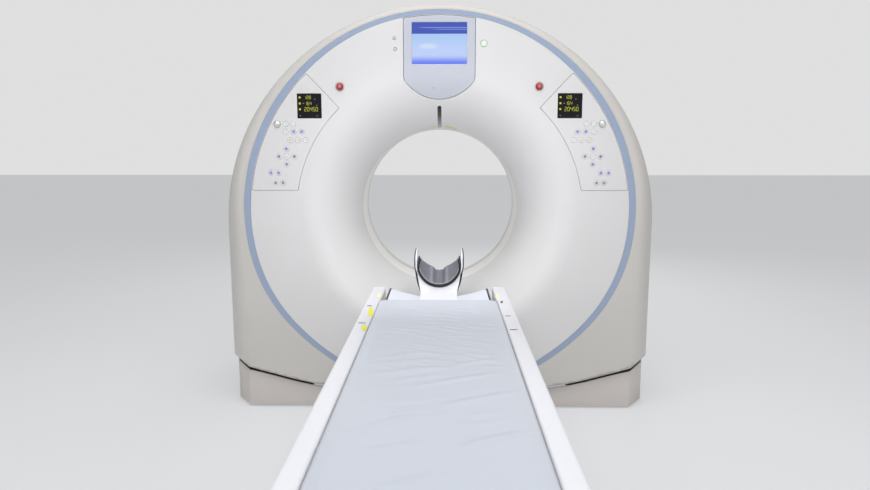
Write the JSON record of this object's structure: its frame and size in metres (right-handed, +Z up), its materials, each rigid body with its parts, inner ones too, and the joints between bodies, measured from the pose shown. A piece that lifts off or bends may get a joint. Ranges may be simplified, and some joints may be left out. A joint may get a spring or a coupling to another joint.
{
  "type": "ct scanner",
  "caption": "Ring-shaped scanner housing that tilts on a floor base, with a flared round opening, control panels, a display and a height-adjustable patient couch with sliding top and headrest.",
  "frame": {"origin": "on the floor, in the middle of the whole footprint", "axes": "+Z up, +Y from the couch's foot end through the opening to the rear of the gantry, +X to the right as seen from the couch"},
  "size_m": [2.004, 3.555, 1.852],
  "materials": {
    "painted_steel": "satin grey enamel",
    "bearing_steel": "ground steel",
    "drive_grey": "satin grey enamel",
    "base_white": "satin warm white",
    "foot_rubber": "matt black",
    "shroud_grey": "satin light grey",
    "shell_white": "satin warm white",
    "cover_white": "smooth satin white",
    "ring_blue": "satin blue-grey",
    "housing_blue": "pale blue-grey",
    "screen": "lit display behind glass",
    "key_grey": "soft grey key mat",
    "laser_black": "dark window",
    "sill_grey": "grey",
    "lamp_green": "pale lenses",
    "collar_white": "pale collar",
    "copper_brown": "brown insulator",
    "rotor_metal": "machined casting",
    "tube_metal": "cast housing",
    "detector_blue": "blue enamel",
    "slip_brass": "contact rings",
    "stop_red": "red",
    "dome_silver": "polished dome",
    "couch_white": "satin white",
    "carbon_black": "carbon fibre laminate",
    "mattress_cover": "pale film cover",
    "head_pad": "dark grey vinyl"
  },
  "bodies": {
    "base": {"base_frame": "painted_steel", "left_stand": "painted_steel", "right_stand": "painted_steel", "tilt_bearings": "bearing_steel", "tilt_gearbox": "drive_grey", "base_front_cover": "base_white", "base_rear_cover": "base_white", "levelling_feet": "foot_rubber", "link_duct": "base_white", "couch_base_plate": "painted_steel", "couch_base_cover": "base_white", "lower_shroud": "shroud_grey", "outer_column": "painted_steel"},
    "gantry": {"tilt_frame": "painted_steel", "outer_front_shell": "shell_white", "outer_rear_shell": "shell_white", "front_cover": "cover_white", "rear_cover": "cover_white", "accent_ring": "ring_blue", "bore_window": "cover_white", "display_housing": "housing_blue", "display_screen": "screen", "left_operator_panel": "cover_white", "right_operator_panel": "cover_white", "number_displays": "screen", "left_keypad": "key_grey", "right_keypad": "key_grey", "laser_window": "laser_black", "laser_sill": "sill_grey", "indicator_lamps": "lamp_green", "estop_collars": "collar_white", "outer_race": "bearing_steel", "brush_block": "copper_brown", "cover_brackets": "painted_steel"},
    "rotor": {"rotor_disc": "rotor_metal", "inner_race": "bearing_steel", "xray_tube": "tube_metal", "collimator": "drive_grey", "detector_arc": "detector_blue", "slip_ring": "slip_brass", "generator": "drive_grey", "tube_cooler": "drive_grey"},
    "left_estop": {"left_estop_button": "stop_red"},
    "right_estop": {"right_estop_button": "stop_red"},
    "left_dome": {"left_dome_button": "dome_silver"},
    "right_dome": {"right_dome_button": "dome_silver"},
    "couch": {"couch_frame": "painted_steel", "left_rail_cover": "couch_white", "right_rail_cover": "couch_white", "foot_end_cover": "couch_white", "head_end_cover": "couch_white", "upper_shroud": "shroud_grey", "inner_column": "bearing_steel"},
    "middle_cover": {"mid_shroud": "shroud_grey"},
    "table": {"tabletop": "carbon_black", "mattress": "mattress_cover", "headrest_holder": "couch_white", "headrest_pad": "head_pad", "table_carriage": "bearing_steel"}
  },
  "joints": [
    {"name": "gantry_tilt", "type": "hinge", "parent": "base", "child": "gantry", "pos_m": [0, 1.2875, 0.93], "axis": [-1, 0, 0], "range_deg": [-15, 10]},
    {"name": "rotor_spin", "type": "hinge", "parent": "gantry", "child": "rotor", "pos_m": [0, 1.2875, 0.93], "axis": [0, 1, 0], "continuous": true},
    {"name": "couch_lift", "type": "slide", "parent": "base", "child": "couch", "axis": [0, 0, 1], "range_m": [-0.025, 0.18]},
    {"name": "middle_cover_lift", "type": "slide", "parent": "base", "child": "middle_cover", "axis": [0, 0, 1], "range_m": [-0.0125, 0.09]},
    {"name": "table_slide", "type": "slide", "parent": "couch", "child": "table", "axis": [0, 1, 0], "range_m": [0, 1.8]},
    {"name": "left_estop_press", "type": "slide", "parent": "gantry", "child": "left_estop", "axis": [0, 1, 0], "range_m": [0, 0.004], "stiffness_N_per_m": 3000},
    {"name": "right_estop_press", "type": "slide", "parent": "gantry", "child": "right_estop", "axis": [0, 1, 0], "range_m": [0, 0.004], "stiffness_N_per_m": 3000},
    {"name": "left_dome_press", "type": "slide", "parent": "gantry", "child": "left_dome", "axis": [0, 1, 0], "range_m": [0, 0.003], "stiffness_N_per_m": 2000},
    {"name": "right_dome_press", "type": "slide", "parent": "gantry", "child": "right_dome", "axis": [0, 1, 0], "range_m": [0, 0.003], "stiffness_N_per_m": 2000}
  ],
  "couplings": [
    {"joint": "middle_cover_lift", "follows": "couch_lift", "ratio": 0.5}
  ]
}
